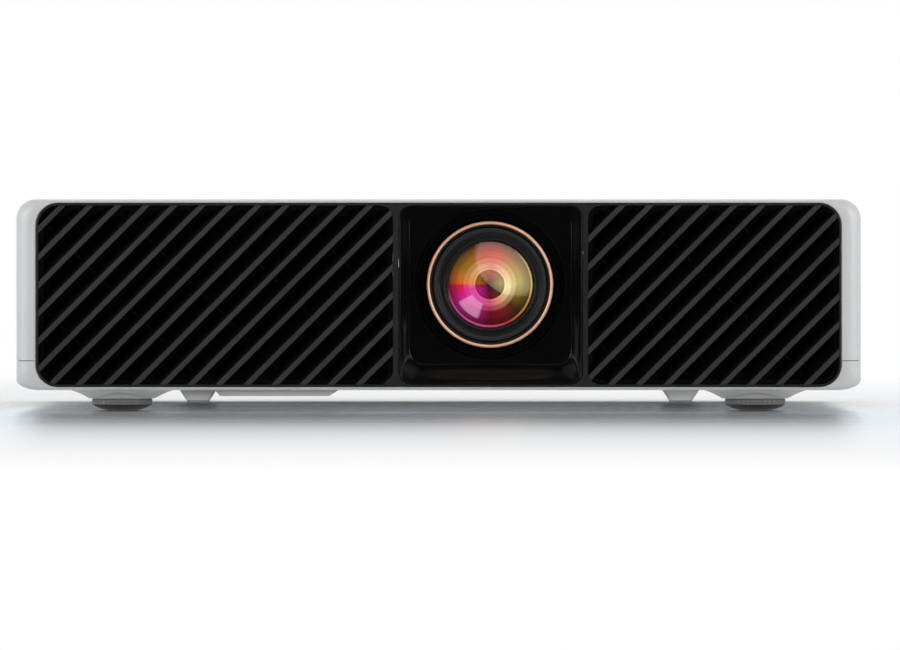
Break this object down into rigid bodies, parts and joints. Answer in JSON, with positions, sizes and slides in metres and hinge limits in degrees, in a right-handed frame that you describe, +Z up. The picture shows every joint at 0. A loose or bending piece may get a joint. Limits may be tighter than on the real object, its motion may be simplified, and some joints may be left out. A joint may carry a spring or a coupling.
{
  "type": "home projector",
  "caption": "Wide, low home projector with slatted front grilles, an offset lens in a glossy pocket, screw feet at the front and connectors at the rear.",
  "frame": {"origin": "on the surface the projector stands on, under the middle of its housing", "axes": "+Z up; -Y is the way the lens looks; +X is to the right for someone who looks at the lens"},
  "size_m": [0.4, 0.28, 0.1004],
  "materials": {
    "case_silver": "fine-grained satin silver grey",
    "frame_graphite": "matte dark graphite",
    "surround_black": "polished piano black",
    "panel_graphite": "matte with a fine grain",
    "door_silver": "satin grey",
    "screw_steel": "blackened machine finish",
    "bush_brass": "plain turned brass",
    "dial_gray": "matte mid grey",
    "foot_rubber": "matte black",
    "foot_silver": "satin grey",
    "trim_copper": "anodised rose copper, satin",
    "ring_black": "matte black, ribbed edge",
    "cell_black": "matte black with fine steps",
    "coated_glass": "multi-coated, purple to amber",
    "barrel_black": "black anodised",
    "inner_glass": "clear, coated",
    "engine_cast": "black cast finish",
    "sheet_steel": "zinc-plated sheet",
    "board_green": "solder mask over glass fibre",
    "sink_aluminium": "plain extruded",
    "fan_black": "matte black",
    "motor_steel": "plated",
    "wheel_glass": "dichroic segments",
    "lamp_glass": "dichroic reflector and clear quartz",
    "filter_foam": "open-cell foam, dark",
    "socket_steel": "nickel-plated",
    "socket_blue": "moulded blue",
    "jack_black": "moulded black",
    "inlet_black": "moulded black",
    "speaker_black": "matte black",
    "button_silver": "satin darker silver grey",
    "light_pipe": "clear"
  },
  "bodies": {
    "projector": {"top_cover": "case_silver", "bottom_case": "case_silver", "front_frame": "frame_graphite", "left_grille": "frame_graphite", "right_grille": "frame_graphite", "lens_surround": "surround_black", "rear_panel": "panel_graphite", "lamp_door": "door_silver", "case_screws": "screw_steel", "brass_bushes": "bush_brass", "rear_feet": "foot_silver", "rear_foot_pads": "foot_rubber", "lens_barrel": "barrel_black", "lens_screws": "screw_steel", "rear_glass": "inner_glass", "engine_housing": "engine_cast", "engine_lid": "sheet_steel", "engine_optics": "inner_glass", "chip_board": "board_green", "chip_heat_sink": "sink_aluminium", "light_tunnel": "sheet_steel", "optical_base": "engine_cast", "color_wheel_motor": "motor_steel", "lamp_housing": "sheet_steel", "lamp": "lamp_glass", "lamp_ballast": "board_green", "left_fan_frame": "fan_black", "right_fan_frame": "fan_black", "dust_filter": "filter_foam", "main_board": "board_green", "data_sockets": "socket_steel", "vga_socket": "socket_blue", "audio_jacks": "jack_black", "power_inlet": "inlet_black", "power_board": "board_green", "speaker": "speaker_black", "key_board": "board_green", "status_lights": "light_pipe"},
    "left_foot": {"left_foot_pad": "foot_rubber"},
    "left_dial": {"left_foot_dial": "dial_gray"},
    "right_foot": {"right_foot_pad": "foot_rubber"},
    "right_dial": {"right_foot_dial": "dial_gray"},
    "focus": {"focus_ring": "ring_black", "copper_trim": "trim_copper"},
    "front_group": {"front_cell": "cell_black", "front_lenses": "coated_glass"},
    "zoom": {"zoom_ring": "ring_black"},
    "zoom_group": {"zoom_cell": "cell_black", "zoom_glass": "inner_glass"},
    "left_fan": {"left_fan_rotor": "fan_black"},
    "right_fan": {"right_fan_rotor": "fan_black"},
    "wheel": {"color_wheel": "wheel_glass"},
    "power_key": {"power_button": "button_silver"},
    "back_key": {"back_button": "button_silver"},
    "source_key": {"source_button": "button_silver"},
    "ok_key": {"ok_button": "button_silver"},
    "up_key": {"up_button": "button_silver"},
    "down_key": {"down_button": "button_silver"},
    "left_key": {"left_button": "button_silver"},
    "right_key": {"right_button": "button_silver"}
  },
  "joints": [
    {"name": "left_foot_height", "type": "slide", "parent": "projector", "child": "left_foot", "axis": [0, 0, -1], "range_m": [0, 0.012]},
    {"name": "left_dial_spin", "type": "hinge", "parent": "left_foot", "child": "left_dial", "pos_m": [-0.151, -0.108, 0.004], "axis": [0, 0, -1], "range_deg": [0, 2160]},
    {"name": "right_foot_height", "type": "slide", "parent": "projector", "child": "right_foot", "axis": [0, 0, -1], "range_m": [0, 0.012]},
    {"name": "right_dial_spin", "type": "hinge", "parent": "right_foot", "child": "right_dial", "pos_m": [0.151, -0.108, 0.004], "axis": [0, 0, -1], "range_deg": [0, 2160]},
    {"name": "focus_turn", "type": "hinge", "parent": "projector", "child": "focus", "pos_m": [0.0243, 0, 0.06], "axis": [0, 1, 0], "range_deg": [-60, 60]},
    {"name": "front_travel", "type": "slide", "parent": "projector", "child": "front_group", "axis": [0, 1, 0], "range_m": [-0.002, 0.002]},
    {"name": "zoom_turn", "type": "hinge", "parent": "projector", "child": "zoom", "pos_m": [0.0243, 0, 0.06], "axis": [0, 1, 0], "range_deg": [-14, 14]},
    {"name": "zoom_travel", "type": "slide", "parent": "projector", "child": "zoom_group", "axis": [0, 1, 0], "range_m": [-0.004, 0.004]},
    {"name": "left_fan_spin", "type": "hinge", "parent": "projector", "child": "left_fan", "pos_m": [-0.1, -0.11, 0.054], "axis": [0, 1, 0], "continuous": true},
    {"name": "right_fan_spin", "type": "hinge", "parent": "projector", "child": "right_fan", "pos_m": [0.1, -0.11, 0.054], "axis": [0, 1, 0], "continuous": true},
    {"name": "wheel_spin", "type": "hinge", "parent": "projector", "child": "wheel", "pos_m": [-0.054, -0.01, 0.06], "axis": [1, 0, 0], "continuous": true},
    {"name": "power_press", "type": "slide", "parent": "projector", "child": "power_key", "axis": [0, 0, -1], "range_m": [0, 0.0008], "stiffness_N_per_m": 800},
    {"name": "back_press", "type": "slide", "parent": "projector", "child": "back_key", "axis": [0, 0, -1], "range_m": [0, 0.0008], "stiffness_N_per_m": 800},
    {"name": "source_press", "type": "slide", "parent": "projector", "child": "source_key", "axis": [0, 0, -1], "range_m": [0, 0.0008], "stiffness_N_per_m": 800},
    {"name": "ok_press", "type": "slide", "parent": "projector", "child": "ok_key", "axis": [0, 0, -1], "range_m": [0, 0.0008], "stiffness_N_per_m": 800},
    {"name": "up_press", "type": "slide", "parent": "projector", "child": "up_key", "axis": [0, 0, -1], "range_m": [0, 0.0008], "stiffness_N_per_m": 800},
    {"name": "down_press", "type": "slide", "parent": "projector", "child": "down_key", "axis": [0, 0, -1], "range_m": [0, 0.0008], "stiffness_N_per_m": 800},
    {"name": "left_press", "type": "slide", "parent": "projector", "child": "left_key", "axis": [0, 0, -1], "range_m": [0, 0.0008], "stiffness_N_per_m": 800},
    {"name": "right_press", "type": "slide", "parent": "projector", "child": "right_key", "axis": [0, 0, -1], "range_m": [0, 0.0008], "stiffness_N_per_m": 800}
  ],
  "couplings": [
    {"joint": "left_foot_height", "follows": "left_dial_spin", "m_per_rad": 0.0003183},
    {"joint": "right_foot_height", "follows": "right_dial_spin", "m_per_rad": 0.0003183},
    {"joint": "front_travel", "follows": "focus_turn", "m_per_rad": 0.0019},
    {"joint": "zoom_travel", "follows": "zoom_turn", "m_per_rad": 0.0163}
  ]
}
